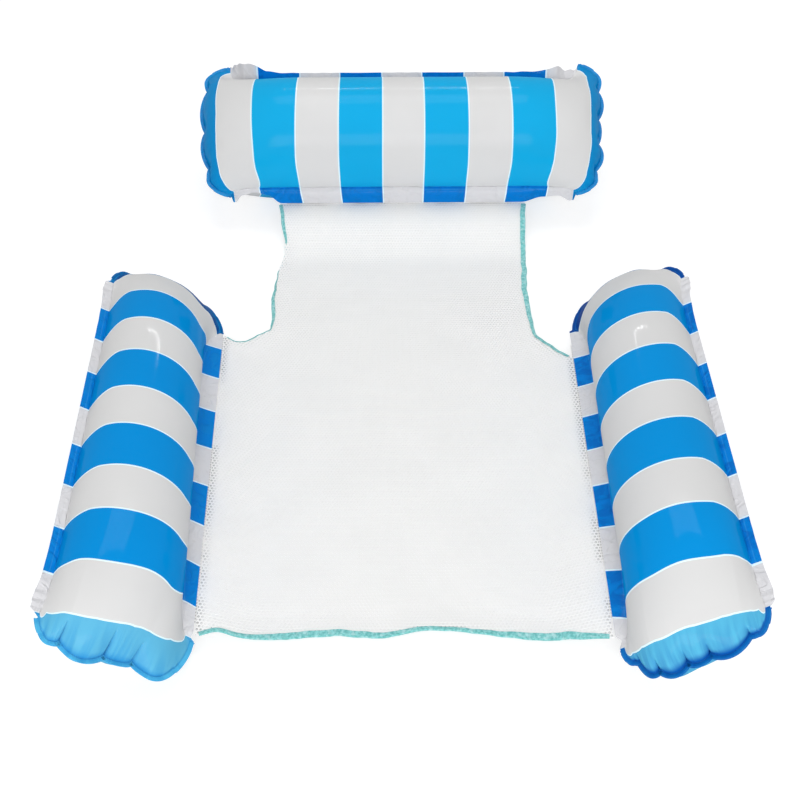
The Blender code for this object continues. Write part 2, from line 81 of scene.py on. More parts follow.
def add_math(tree, operation, *terms):
    """A Math node fed with numbers and sockets, in turn. Returns its result."""
    node = tree.nodes.new("ShaderNodeMath")
    node.operation = operation
    feed(tree, node, dict(enumerate(terms)))
    return node.outputs[0]


def add_mix(tree, share, first, second):
    """A colour between first and second, by share. Each is a socket or three numbers."""
    node = tree.nodes.new("ShaderNodeMix")
    node.data_type = "RGBA"
    feed(tree, node, {0: share, 6: first, 7: second})
    return node.outputs[2]


def seen_ray(tree):
    """One for a ray from the camera, and for one that a gloss or a clear piece has sent on."""
    path = tree.nodes.new("ShaderNodeLightPath")
    rays = add_math(tree, "ADD", path.outputs["Is Camera Ray"], path.outputs["Is Glossy Ray"])
    return add_math(tree, "MINIMUM", add_math(tree, "ADD", rays, path.outputs["Is Transmission Ray"]), 1.0)


def new_material(name):
    """A new material, with its node tree and its shader."""
    material = bpy.data.materials.new(name)
    material.use_nodes = True
    return material, material.node_tree, material.node_tree.nodes["Principled BSDF"]


paper, tree, shader = new_material("studio_paper")
seen = seen_ray(tree)
feed(tree, shader, {
    "Base Color": add_mix(tree, seen, (0.9, 0.9, 0.9), (0.4, 0.4, 0.4)), "Roughness": 0.9,
    "Specular IOR Level": 0.0, "Emission Color": (1, 1, 1),
    "Emission Strength": add_math(tree, "MULTIPLY", seen, 0.71)})
studio_floor.data.materials.append(paper)

world = bpy.data.worlds.new("surround")
bpy.context.scene.world = world
world.use_nodes = True
tree = world.node_tree
level = add_math(tree, "MULTIPLY_ADD", seen_ray(tree), 0.495, 0.505)
feed(tree, tree.nodes["Background"], {"Color": (1, 1, 1), "Strength": level})


def add_soft_box(name, place, aim, width, depth, watts, spread=True):
    """A rectangular lamp at place that faces aim. Without spread it only glints in glossy surfaces."""
    lamp = bpy.data.lights.new(name, "AREA")
    lamp.shape = "RECTANGLE"
    lamp.size = width
    lamp.size_y = depth
    lamp.energy = watts
    holder = add_object(name, lamp)
    holder.location = place
    holder.rotation_euler = (Vector(aim) - Vector(place)).to_track_quat("-Z", "Y").to_euler()
    holder.visible_diffuse = spread


add_soft_box("overhead_box", (0.0, 2.61, 2.2), (0, -0.1, 0.1), 1.3, 0.09, 16, spread=False)
add_soft_box("ceiling_box", (0.0, 1.3, 2.9), (0, 0, 0.05), 2.0, 1.0, 27)
add_soft_box("front_box", (0.0, -2.8, 1.8), (0, 0, 0.05), 2.6, 1.3, 60)


# Left arm float: two sheets of printed PVC film, welded along both long sides and across both ends, and
# blown up tight. The ends draw in to puckered lobes, and the welds stand out as flat flanges. The net's hem
# is clamped in the inner one.
def fade(share):
    """Falls smoothly from one at zero to nothing at one: the cube with level ends."""
    share = np.clip(share, 0, 1)
    return (1 - share) ** 2 * (1 + 2 * share)


def unit(directions):
    """The same directions, each one long."""
    return directions / np.linalg.norm(directions, axis=-1, keepdims=True)


class Bag:
    """One blown-up float, as a function of the place along its flat film and the share across it.

    Its own axes are X along it, Y to the net and Z up, from the line where the net leaves its flange. place
    and yaw put that line in the chair. What names an end comes in pairs, the end at negative X first.

    radius, straight and reach: half its thickness, half its even middle, and how far its ends reach.
    corners, creases and tips: where each end's hem starts and stops across the bag, the shares between them
        at which it is creased, and how far its corners and the lobes between reach, as shares of reach.
    notch and crease_run: how far a crease cuts in, and how far it runs up the bag.
    roll, slope and bend_share: the tilt of the bag and of its inner flange, and the share bent at its foot.
    inner_held and outer_held: marks of place and share, for how much of a flange's width stands there.
    outer_flange and outer_lift: the width of the outer flange, and how steeply it is turned up.
    held, bands and the four drifts: how the print is drawn out of line, as print_place says.
    widths and shifts: how much wider the bag is near each end, and how far over it lies there.
    """

    film = 0.0004
    weld = 0.006
    layer_gap = 0.0003
    net_half = 0.0006
    inner_flange = 0.026
    flange_mouth = 0.0015
    floor_dent = 0.0005
    corner_run = 0.018
    ripple = 0.0007
    stripe = 0.067
    last_stripe = 3.5

    def __init__(self, place, yaw, radius, straight, reach, corners, creases, tips, notch, roll, slope,
                 bend_share, inner_held, outer_held, outer_flange, outer_lift, crease_run, held, drift,
                 inner_drift, tip_drift, outer_drift, bands, widths=(1, 1), shifts=(0, 0)):
        self.place, self.yaw = place, math.radians(yaw)
        self.radius, self.straight, self.reach = radius, straight, reach
        self.corners, self.creases, self.tips, self.notch = corners, creases, tips, notch
        self.inner_held, self.outer_held = inner_held, outer_held
        self.outer_flange, self.outer_lift = outer_flange, math.radians(outer_lift)
        self.crease_run, self.held, self.bands = crease_run, held, bands
        self.widths, self.shifts = widths, shifts
        self.drift, self.tip_drift = drift, tip_drift
        self.inner_drift, self.outer_drift = inner_drift, outer_drift
        self.roll, self.slope = math.radians(roll), math.radians(slope)
        self.height = radius + self.film - self.floor_dent
        self.near_slope = self.roll + (self.slope - self.roll) * bend_share
        near, far = self.inner_flange / 2, self.inner_flange / 2 + self.flange_mouth
        self.back = (radius * math.cos(self.roll) + near * math.cos(self.near_slope)
                     + far * math.cos(self.slope))
        self.hinge = (self.height - radius * math.sin(self.roll) - near * math.sin(self.near_slope)
                      - far * math.sin(self.slope))
        self.turns = np.linspace(0, math.pi / 2, 400)
        step = np.hypot((reach - straight) * np.cos(self.turns), radius * np.sin(self.turns))
        self.arc = np.concatenate([[0], np.cumsum((step[1:] + step[:-1]) / 2 * np.diff(self.turns))])
        self.flat_half = straight + self.arc[-1]

    def local(self, along, across, out):
        """Turns the bag's own section, across to the inner weld and out square to it, by its roll."""
        cos, sin = math.cos(self.roll), math.sin(self.roll)
        return np.stack([along, across * cos + out * sin - self.back,
                         out * cos - across * sin + self.height - self.hinge], axis=-1)

    def chair(self, points):
        """Puts points of the bag's axes in the chair, by its yaw and its place."""
        cos, sin = math.cos(self.yaw), math.sin(self.yaw)
        x, y, z = points[..., 0], points[..., 1], points[..., 2]
        turned = [x * cos - y * sin + self.place[0], x * sin + y * cos + self.place[1], z + self.hinge]
        return np.stack(turned, axis=-1)

    def pucker(self, share, end):
        """Where a share lies on the creased hem, its lobe as the root of a sine, and how far it reaches."""
        marks = [-1.0, *self.creases[end], 1.0]
        count = len(marks) - 1
        place = (share + 1) / 2 * count
        lobe = np.sqrt(np.abs(np.sin(math.pi * place)))
        lobe = np.where(np.abs(share) > 1 - 0.5 / count, 1.0, lobe)
        tips = self.tips[end]
        margin = 0.65
        inside = np.clip(place, margin, count - margin)
        middles, steps = np.arange(count) + 0.5, np.linspace(-0.25, 0.25, 9)
        tip = np.mean([np.interp(inside + step, middles, tips[1:-1]) for step in steps], axis=0)
        outside = np.minimum(np.abs(place - inside) / margin, 1)
        corner = np.where(place < 1, tips[0], tips[-1])
        tip = corner + (tip - corner) * (1 - outside ** 2) ** 0.7
        return np.interp(place, np.arange(count + 1), marks), lobe, tip

    def end_section(self, x, share, end):
        """One end: a circle in the middle whose crest falls along a quarter ellipse to the puckered hem.

        The side welds keep their flat length up to the hem's corners, by an eased line that levels off there.
        """
        past = np.clip(np.abs(x) - self.straight, 0, self.arc[-1])
        turn = np.interp(past, self.arc, self.turns)
        closing = 1 - fade(past / self.arc[-1])
        warped, lobe, tip = self.pucker(share, end)
        crease = (1 - lobe) * fade((self.arc[-1] - past) / self.crease_run[end])
        run = self.reach * tip - self.straight
        shares, ease = (past / run, 0, self.arc[-1] / run), 0.2
        kept = [place - ease * np.logaddexp(0, (place - 1) / ease) for place in shares]
        kept = (kept[0] - kept[1]) / (kept[2] - kept[1])
        edge = share ** 4
        along = np.minimum(np.abs(x), self.straight) + run * (np.sin(turn) * (1 - edge) + kept * edge)
        along = along - self.notch * crease
        flare = closing ** 2
        low, high = self.corners[end]
        width, shift = (np.interp(x, (-0.25, 0.25), marks) for marks in (self.widths, self.shifts))
        across = (1 - flare) * (self.radius * width * np.sin(share * math.pi / 2) + shift)
        across = across + flare * ((low + high) / 2 + (high - low) / 2 * warped)
        out = self.radius * np.cos(turn) * np.cos(share * math.pi / 2) * (1 - 0.65 * crease)
        return np.sign(x) * along, across, out

    def section(self, x, share):
        """The film's place, from the formula of the end that x lies towards."""
        first, second = self.end_section(x, share, 0), self.end_section(x, share, 1)
        return tuple(np.where(x < 0, one, other) for one, other in zip(first, second))

    def print_place(self, x, share, past):
        """Where the print lies: the place along the film, drawn a little out of line as it is blown up.

        The pull is a polynomial of the place and the share, in stripe widths, and a line of three marks at
        each weld. Past the last blue stripe the film is gathered instead, as bands says at each share.
        """
        first, last = self.held
        place = np.clip(x / self.stripe, -self.last_stripe, self.last_stripe)
        held = np.clip(share, first, last)
        terms = (1, held, held ** 2, place, place * held, place ** 2, place ** 3, place * held ** 2)
        pull = sum(factor * term for factor, term in zip(self.drift, terms))
        stops = (-self.last_stripe, 0, self.last_stripe)
        inner, outer = np.interp(place, stops, self.inner_drift), np.interp(place, stops, self.outer_drift)
        to_inner = 1 - fade((share - last) / (1 - last))
        to_outer = 1 - fade((first - share) / (1 + first))
        pull = pull * (1 - to_inner) * (1 - to_outer) + inner * to_inner + outer * to_outer
        on_flange = np.clip(past / self.inner_flange, 0, 1) * (share > 0)
        pull = pull + on_flange * np.interp(place, stops, self.tip_drift)
        marks = (-1, -0.9, -0.75, -0.5, -0.25, 0, 0.25, 0.5, 0.75, 0.9, 1)
        low, high = (np.interp(share, marks, table) for table in self.bands)
        return self.stripe * (place + pull + (x / self.stripe - place) / np.where(x < 0, low, high))

    def rounded(self, x):
        """How far the side weld stands out where the hem turns round the corner, along a quarter circle."""
        past = np.clip((np.abs(x) - self.flat_half + self.corner_run) / (self.weld + self.corner_run), 0, 1)
        return 0.12 + 0.88 * np.sqrt(1 - past ** 2)

    def flange_share(self, x, marks):
        """How much of a flange's width stands at x: from mark to mark of place and share, by a level cube."""
        places, shares = zip(*marks)
        number = np.interp(x, places, np.arange(len(places)))
        step = np.minimum(np.floor(number).astype(int), len(places) - 2)
        shares = np.array(shares)
        return shares[step + 1] + (shares[step] - shares[step + 1]) * fade(number - step)

    def flange(self, x, seam, part, side):
        """One face of the inner flange, from its bend at part 0 to its tip at part 1, open for the hem."""
        held = self.flange_share(x, self.inner_held)
        near_turn, far_turn = self.roll - self.near_slope, self.roll - self.slope
        half = self.inner_flange / 2
        width = half * (math.cos(near_turn) + math.cos(far_turn))
        left_over = np.maximum((self.radius + width - seam) / width, 0)
        far = half * (1 - part) * left_over
        across = self.radius + width - far * math.cos(far_turn)
        out = half * math.sin(near_turn) + (half - far) * math.sin(far_turn)
        tilt = (near_turn + far_turn) / 2 + (far_turn - near_turn) / 2 * np.minimum(part * 4, 1)
        open_by = side * (self.net_half + self.layer_gap)
        across, out = across - open_by * np.sin(tilt), out + open_by * np.cos(tilt)
        free = seam + self.weld * (1 + part) / 2 * self.rounded(x)
        return held * across + (1 - held) * free, held * out + (1 - held) * side * self.layer_gap / 2

    def rows(self):
        """Places along the flat film, closer together on the closing ends than on the straight middle."""
        end = np.linspace(self.straight, self.flat_half, 112)
        hem = self.flat_half + self.weld * np.array([0.3, 0.65, 1.0])
        middle = np.linspace(-self.straight, self.straight, 70)[1:-1]
        return np.concatenate([-hem[::-1], -end[::-1], middle, end, hem])

    def ripples(self, x, edge):
        """Small waves square to the welds: two sines of uneven pitch, that grow to the ends and the weld."""
        wave = np.sin(x * 165 + 2.6 * np.sin(x * 41 + self.roll))
        wave = wave + 0.6 * np.sin(x * 93 + 2.9 * np.sin(x * 31) + self.roll)
        grown = 0.12 + 0.88 * np.clip((np.abs(x) - 0.14) / 0.14, 0, 1) ** 1.5
        grown = grown * (0.35 + 0.65 * fade((np.abs(x) - 0.27) / 0.05))
        return wave * grown * edge

    def face(self, side):
        """Outer face of one film, 1 for the upper and -1 for the lower, with its maps.

        Columns run from the outer flange's edge over the bag to the tip of the inner flange. The hem runs on
        square to the outline of its end. The first two numbers of the map are the place of the print along
        and across, and the last two are how far a point lies past the side weld and past the end weld.
        """
        x, share = np.meshgrid(self.rows(), np.linspace(-1, 1, 121), indexing="ij")
        along, across, out = self.section(x, share)
        past = np.clip((np.abs(x) - self.flat_half) / self.weld, 0, 1)
        outline = []
        for line in (np.gradient(along, axis=1), np.gradient(across, axis=1)):
            first, last = (np.mean([np.roll(line[row], k) for k in (-1, 0, 1)], axis=0) for row in (3, -4))
            outline.append(np.where(x < 0, first, last))
        size = np.hypot(*outline)
        along = along + np.sign(x) * self.weld * past * outline[1] / size
        across = across - np.sign(x) * self.weld * past * outline[0] / size
        edge = np.exp(-(1 - np.abs(share)) / 0.05)
        out = side * (out + self.layer_gap / 2) + self.ripple * self.ripples(x, edge)
        girth = self.radius * math.pi / 2
        columns = [self.local(along, across, out)]
        places = [(x, share * girth, (np.abs(share) - 1) * girth, share)]

        flat, first, last = x[:, :1], across[:, :1], across[:, -1:]
        held = self.flange_share(flat, self.outer_held)
        width = (self.weld + (self.outer_flange - self.weld) * held) * self.rounded(flat)
        part = np.linspace(1, 0, 10)[:-1]
        lift = self.outer_lift * held
        wave = (0.0004 + 0.0008 * part * width / self.outer_flange) * self.ripples(flat, 1)
        outer = self.local(along[:, :1] + 0 * part, first - width * part * np.cos(lift) - wave * np.sin(lift),
                           side * self.layer_gap / 2 + width * part * np.sin(lift) + wave * np.cos(lift))
        columns.insert(0, outer)
        places.insert(0, (flat, -girth - width * part, width * part, -1.0))

        bend = self.flange(flat, last, 0.0, side)
        tip = self.flange(flat, last, 1.0, side)
        part = np.linspace(0, 1, 9)[1:]
        lead = np.hypot(bend[0] - last, bend[1] - out[:, -1:])
        ahead = (tip[0] - bend[0], tip[1] - bend[1])
        size = np.maximum(np.hypot(*ahead), 1e-9)
        # From the seam to the bend: a cubic that leaves the seam level and meets the flange in its direction.
        from_seam, leaving = (2 * part ** 3 - 3 * part ** 2 + 1), (part ** 3 - 2 * part ** 2 + part)
        to_bend, meeting = (-2 * part ** 3 + 3 * part ** 2), (part ** 3 - part ** 2)
        near_across = from_seam * last + leaving * lead + to_bend * bend[0] + meeting * lead * ahead[0] / size
        near_out = from_seam * out[:, -1:] + to_bend * bend[1] + meeting * lead * ahead[1] / size
        columns.append(self.local(along[:, -1:] + 0 * part, near_across, near_out))
        places.append((flat, girth + lead * part, lead * part, 1.0))
        part = np.linspace(0, 1, 7)[1:]
        far = [one * (1 - part) + other * part for one, other in zip(bend, tip)]
        columns.append(self.local(along[:, -1:] + 0 * part, *far))
        places.append((flat, girth + lead + size * part, lead + size * part, 1.0))

        inner = np.concatenate(columns, axis=1)
        normal = unit(np.cross(np.gradient(inner, axis=0), np.gradient(inner, axis=1)))
        skin = inner + side * self.film * normal
        skin[..., 2] = np.maximum(skin[..., 2], -self.hinge)
        places = [np.broadcast_arrays(*numbers) for numbers in places]
        x, across, past, share = (np.concatenate(each, axis=1) for each in zip(*places))
        maps = np.stack([self.print_place(x, share, past), across, past, np.abs(x) - self.flat_half], axis=-1)
        return self.chair(skin), maps

    def valve_axes(self, offset, turn=52):
        """Place of the valve, and its directions along, aside and out. turn is in degrees, from the bottom of
        the bag round to its outer weld."""
        across, down = -math.sin(math.radians(turn)), -math.cos(math.radians(turn))
        radius = self.radius + self.film
        place = self.local(offset, radius * across, radius * down)
        above = self.local(offset, (radius + 1) * across, (radius + 1) * down)
        beside = self.local(offset + 1, radius * across, radius * down)
        place, above, beside = (Vector(self.chair(point)) for point in (place, above, beside))
        out, along = (above - place).normalized(), (beside - place).normalized()
        return place, along, out.cross(along), out


def mesh_of(name, points, faces, maps):
    """A mesh of points and quads, with its faces turned out. maps names its UV maps, two numbers a point."""
    a, b, c, d = (points[faces[:, k]] for k in range(4))
    volume = (np.cross(c - a, d - b) * a).sum()
    if volume < 0:
        faces = faces[:, ::-1]
    mesh = bpy.data.meshes.new(name)
    mesh.from_pydata(points.tolist(), [], faces.tolist())
    for title, values in maps.items():
        layer = mesh.uv_layers.new(name=title)
        layer.data.foreach_set("uv", values[faces.reshape(-1)].astype(np.float32).reshape(-1))
    mesh.update()
    mesh.shade_smooth()
    mesh.set_sharp_from_angle(angle=math.radians(55))
    return mesh


def grid_quads(grid):
    """The numbers of a grid's points, row by row, and the quads between them."""
    rows, columns = grid.shape[:2]
    number = np.arange(rows * columns).reshape(rows, columns)
    quads = np.stack([number[:-1, :-1], number[1:, :-1], number[1:, 1:], number[:-1, 1:]], axis=-1)
    return number, quads.reshape(-1, 4)


def closed_skin(name, over, under, maps):
    """Two grids of points that share their outline, joined by a rim all round."""
    number, quads = grid_quads(over)
    rim = np.concatenate([number[0, :-1], number[:-1, -1], number[-1, :0:-1], number[:0:-1, 0]])
    after, count = np.roll(rim, -1), number.size
    walls = np.stack([rim, after, after + count, rim + count], axis=1)
    faces = np.concatenate([quads, quads[:, ::-1] + count, walls])
    points = np.concatenate([over.reshape(-1, 3), under.reshape(-1, 3)])
    maps = {title: np.concatenate([values.reshape(-1, 2)] * 2) for title, values in maps.items()}
    return mesh_of(name, points, faces, maps)


def add_piece(name, mesh, body, slot, *nodes):
    """A finished piece that rides on body and stands for nodes."""
    piece = add_object(name, mesh)
    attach(piece, body)
    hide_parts(*nodes)
    return piece


def add_float(name, bag, valve_offset, material, pocket_radius=0.0114, pocket_floor=-0.0165, pocket_top=0.01):
    """Both films of a float as one closed skin, with a round pocket cut for its valve."""
    over, maps = bag.face(1)
    under, _ = bag.face(-1)
    mesh = closed_skin(name + "_bag", over, under, {"print": maps[..., :2], "weld": maps[..., 2:]})
    place, along, side, out = bag.valve_axes(valve_offset)
    turn = np.linspace(0, 2 * math.pi, 65)[:-1]
    ring = np.cos(turn)[:, None] * np.array(along) + np.sin(turn)[:, None] * np.array(side)
    axis = np.array(out)
    low, high = (np.array(place) + pocket_radius * ring + axis * lift for lift in (pocket_floor, pocket_top))
    cutter_mesh = bpy.data.meshes.new(name + "_pocket_cutter")
    count = len(turn)
    walls = [(k, (k + 1) % count, (k + 1) % count + count, k + count) for k in range(count)]
    cutter_mesh.from_pydata(np.concatenate([low, high]).tolist(), [],
                            [tuple(reversed(range(count))), tuple(range(count, 2 * count)), *walls])
    cutter = add_object(name + "_pocket_cutter", cutter_mesh)
    shell = add_object(name + "_shell", mesh)
    pocket = shell.modifiers.new("pocket", "BOOLEAN")
    pocket.operation = "DIFFERENCE"
    pocket.solver = "EXACT"
    pocket.object = cutter
    bpy.context.view_layer.update()
    cut = bpy.data.meshes.new_from_object(shell.evaluated_get(bpy.context.evaluated_depsgraph_get()))
    bpy.data.objects.remove(shell)
    bpy.data.objects.remove(cutter)
    cut.name = name + "_bag"
    cut.materials.clear()
    piece = add_piece(name + "_bag", cut, name + "_float", "striped_film",
                      name + "_upper_film", name + "_lower_film")
    piece.data.materials.append(material)
    return piece


def add_group(name, inputs, outputs):
    """An empty shader node group with number inputs at their usual values, and number outputs."""
    tree = bpy.data.node_groups.new(name, "ShaderNodeTree")
    for title, value in inputs.items():
        tree.interface.new_socket(title, in_out="INPUT", socket_type="NodeSocketFloat").default_value = value
    for title in outputs:
        tree.interface.new_socket(title, in_out="OUTPUT", socket_type="NodeSocketFloat")
    return tree, tree.nodes.new("NodeGroupInput"), tree.nodes.new("NodeGroupOutput")


def smooth_mask(tree, value, start, end):
    """Nothing at start and one at end, with level ends between."""
    node = tree.nodes.new("ShaderNodeMapRange")
    node.interpolation_type = "SMOOTHSTEP"
    feed(tree, node, {0: value, 1: start, 2: end})
    return node.outputs[0]


def map_numbers(tree, name):
    """The two numbers that the UV map of that name holds."""
    node = tree.nodes.new("ShaderNodeUVMap")
    node.uv_map = name
    split = tree.nodes.new("ShaderNodeSeparateXYZ")
    tree.links.new(node.outputs[0], split.inputs[0])
    return split.outputs[0], split.outputs[1]


def add_noise(tree, place, scale, detail, distortion=0.0):
    """Soft noise over place, at scale waves to the metre."""
    node = tree.nodes.new("ShaderNodeTexNoise")
    feed(tree, node, {"Vector": place, "Scale": scale, "Detail": detail, "Distortion": distortion})
    return node.outputs[0]


def on_object(tree):
    """The place of a point in the piece's own axes."""
    return tree.nodes.new("ShaderNodeTexCoord").outputs["Object"]


def scale_colour(tree, colour, factor):
    """A colour made darker or lighter all through by factor."""
    node = tree.nodes.new("ShaderNodeVectorMath")
    node.operation = "SCALE"
    feed(tree, node, {0: colour, "Scale": factor})
    return node.outputs[0]


def add_bump(tree, height, distance):
    """Bumps on the material's Normal, distance metres high where height is one."""
    node = tree.nodes.new("ShaderNodeBump")
    feed(tree, node, {"Height": height, "Distance": distance})
    feed(tree, tree.nodes["Principled BSDF"], {"Normal": node.outputs[0]})


# The print on all three floats: blue stripes as wide as the gaps between them, with a white stripe in the
# middle of the sheet and a blue band on each end. The white ink shows past the blue as a fine brighter line.
stripe_print, given, put = add_group("stripe_print", {"Stripe Width": 0.067, "Line Width": 0.002},
                                     ("Blue", "Line", "End Band", "Second End"))
print_along, _ = map_numbers(stripe_print, "print")
print_math = partial(add_math, stripe_print)
stripe = print_math("DIVIDE", print_math("ABSOLUTE", print_along), given.outputs["Stripe Width"])
stripe = print_math("MINIMUM", stripe, 5.4)
pair = print_math("FRACT", print_math("MULTIPLY_ADD", stripe, 0.5, 0.25))
blue = print_math("GREATER_THAN", pair, 0.5)
border = print_math("ABSOLUTE", print_math("SUBTRACT", print_math("FRACT", stripe), 0.5))
border = print_math("MULTIPLY", border, given.outputs["Stripe Width"])
line = print_math("LESS_THAN", border, given.outputs["Line Width"])
line = print_math("MULTIPLY", line, print_math("SUBTRACT", 1.0, blue))
feed(stripe_print, put, {"Blue": blue, "Line": line, "End Band": print_math("GREATER_THAN", stripe, 4.5),
                         "Second End": print_math("GREATER_THAN", print_along, 0.0)})

# The film's own surface: its welds are pressed with fine ribs between two lines, its flanges are crumpled,
# and its ends are gathered in fine pleats. The skin between is never quite even. Its masks also say where
# the film's colour is painted with light: painted shade between the pleats, on the crumples and before the
# hem, and a painted highlight along the weld lines.
film_skin, given, put = add_group("film_skin", {"Weld Width": 0.0052},
                                  ("Flange", "Weld Line", "Hem", "Rim", "Pleat Shade", "Crumple", "Height"))
skin_math, skin_mask = partial(add_math, film_skin), partial(smooth_mask, film_skin)
past_side, past_end = map_numbers(film_skin, "weld")
past = skin_math("MAXIMUM", past_side, past_end)
flange = skin_mask(past_side, -0.0006, 0.0008)
hem = skin_mask(past_end, 0.0009, 0.0016)
near_line = skin_math("ABSOLUTE", past)
far_line = skin_math("ABSOLUTE", skin_math("SUBTRACT", past, given.outputs["Weld Width"]))
nearest_line = skin_math("MINIMUM", near_line, far_line)
lines = skin_math("SUBTRACT", 1.0, skin_mask(nearest_line, 0.0002, 0.0011))
ribs = skin_math("SINE", skin_math("MULTIPLY", past, 5200.0))
ribs = skin_math("MULTIPLY", ribs, skin_mask(past, 0.0, 0.0008))
# The band before the hem, which printed_film paints darker as painted shade.
rim = skin_mask(past_end, -0.013, -0.002)
flat = film_skin.nodes.new("ShaderNodeUVMap")
flat.uv_map = "print"
pull = film_skin.nodes.new("ShaderNodeMapping")
pull.inputs["Scale"].default_value = (12, 105, 1)
film_skin.links.new(flat.outputs[0], pull.inputs["Vector"])
pleats = add_noise(film_skin, pull.outputs[0], 1, 3, 0.4)
gathered = skin_mask(past_end, -0.060, -0.004)
pleats = skin_math("MULTIPLY", skin_mask(pleats, 0.34, 0.66), gathered)
# Between the pleats the film is painted with shade.
between = skin_math("SUBTRACT", gathered, pleats)
where = on_object(film_skin)
crumple = skin_mask(add_noise(film_skin, where, 52, 2, 1.3), 0.40, 0.64)
crumple = skin_math("MULTIPLY", crumple, flange)
height = skin_math("MULTIPLY", add_noise(film_skin, where, 34, 3), 0.22)
for part, rise in ((add_noise(film_skin, where, 700, 2), 0.006), (ribs, 0.03), (lines, -0.12),
                   (pleats, 0.55), (crumple, 0.9)):
    height = skin_math("MULTIPLY_ADD", part, rise, height)
feed(film_skin, put, {"Flange": flange, "Weld Line": lines, "Hem": hem, "Rim": rim, "Pleat Shade": between,
                      "Crumple": crumple, "Height": height})


def printed_film(name, blue, end_blues, double_blue, painted_shade_blue, hem_blues, white, rim_shade_share):
    """Glossy PVC film with blue and milky white print.

    Pairs are for the two ends. end_blues are the end bands and hem_blues the hems; the two ends may differ
    by painted light, painted shade on one and a painted highlight on the other. double_blue is where two
    films lie together. painted_shade_blue is painted shade: on the fold before the hem, by rim_shade_share,
    in the gaps between the pleats and on the crumples of the flanges.
    """
    material, tree, shader = new_material(name)
    prints = tree.nodes.new("ShaderNodeGroup")
    prints.node_tree = stripe_print
    skin = tree.nodes.new("ShaderNodeGroup")
    skin.node_tree = film_skin
    end_blue = add_mix(tree, prints.outputs["Second End"], *end_blues)
    ink = add_mix(tree, prints.outputs["End Band"], blue, end_blue)
    flange = add_math(tree, "MULTIPLY", skin.outputs["Flange"],
                      add_math(tree, "SUBTRACT", 1.0, prints.outputs["End Band"]))
    ink = add_mix(tree, flange, ink, double_blue)
    # Painted shade on the fold before the hem.
    rim = add_math(tree, "MULTIPLY", skin.outputs["Rim"], rim_shade_share)
    ink = add_mix(tree, rim, ink, painted_shade_blue)
    hem_blue = add_mix(tree, prints.outputs["Second End"], *hem_blues)
    # The weld lines are painted a lighter blue, a painted highlight along their grooves.
    weld_highlight_blue = (0.12, 0.55, 0.92)
    # The gaps between the pleats and the crumples of the flanges are painted darker, as painted shade.
    for title, share, tone in (("Hem", 0.8, hem_blue), ("Weld Line", 0.15, weld_highlight_blue),
                               ("Pleat Shade", 0.4, painted_shade_blue), ("Crumple", 0.45, painted_shade_blue)):
        ink = add_mix(tree, add_math(tree, "MULTIPLY", skin.outputs[title], share), ink, tone)
    milk = add_mix(tree, add_math(tree, "MULTIPLY", skin.outputs["Flange"], 0.6), white, (0.70, 0.70, 0.74))
    milk = add_mix(tree, prints.outputs["Line"], milk, (0.78, 0.95, 1.0))
    colour = add_mix(tree, prints.outputs["Blue"], milk, ink)
    cloud = add_noise(tree, on_object(tree), 9, 4)
    colour = scale_colour(tree, colour, add_math(tree, "MULTIPLY_ADD", cloud, 0.10, 0.95))
    feed(tree, shader, {"Base Color": colour, "Roughness": add_math(tree, "MULTIPLY_ADD", cloud, 0.10, 0.26),
                        "Specular IOR Level": 0.0, "Coat Weight": 0.09, "Coat Roughness": 0.06})
    add_bump(tree, skin.outputs["Height"], 0.001)
    return material


arm_sheet = {
    "radius": 0.069, "straight": 0.130, "reach": 0.334, "notch": 0.011, "roll": 32, "slope": 20,
    "bend_share": 0.30, "outer_flange": 0.012, "outer_lift": 0, "held": (-0.60, 0.45),
    "outer_held": ((-0.350, 0), (-0.322, 1), (-0.285, 1.3), (-0.24, 1), (0.24, 1), (0.285, 1.3), (0.322, 1),
                   (0.350, 0))}
left_bag = Bag(
    place=(-0.2348, -0.2511), yaw=-87.7,
    corners=((-0.073, 0.0906), (-0.0765, 0.0925)),
    creases=((-0.670, -0.108, 0.442), (-0.706, -0.114, 0.252)),
    tips=((0.880, 0.955, 0.994, 0.994, 0.970, 0.850), (0.877, 0.955, 0.994, 0.952, 0.976, 0.790)),
    inner_held=((-0.366, 0), (-0.318, 1), (0.283, 1), (0.305, 0)), crease_run=(0.045, 0.050),
    drift=(-0.0331, -0.2055, -0.0173, -0.0058, 0.0494, -0.0002, -0.0014, 0.0354),
    inner_drift=(0.28, 0.15, 0.35), tip_drift=(-0.04, -0.04, -0.24), outer_drift=(-0.08, -0.06, -0.03),
    bands=((1.6, 1.35, 1.2, 1.1, 1.06, 1.06, 1.06, 1.05, 1.03, 0.95, 0.98),
           (1.66, 1.15, 1.11, 1.08, 1.03, 1.04, 1.05, 0.96, 1.04, 1.3, 1.48)),
    widths=(0.965, 1.05), shifts=(-0.004, 0.003), **arm_sheet)
# Painted light on the left arm: its far end band and hem are painted navy as painted shade, and its near end
# band is its lighter print painted paler still as a painted highlight.
left_print = printed_film(
    "left_print", blue=(0.001, 0.26, 0.67), end_blues=((0.004, 0.07, 0.27), (0.115, 0.46, 0.70)),
    double_blue=(0.001, 0.22, 0.66), painted_shade_blue=(0.006, 0.24, 0.60),
    hem_blues=((0.004, 0.07, 0.27), (0.09, 0.50, 0.80)), white=(0.68, 0.68, 0.68), rim_shade_share=0.5)
add_float("left", left_bag, -0.140, left_print)


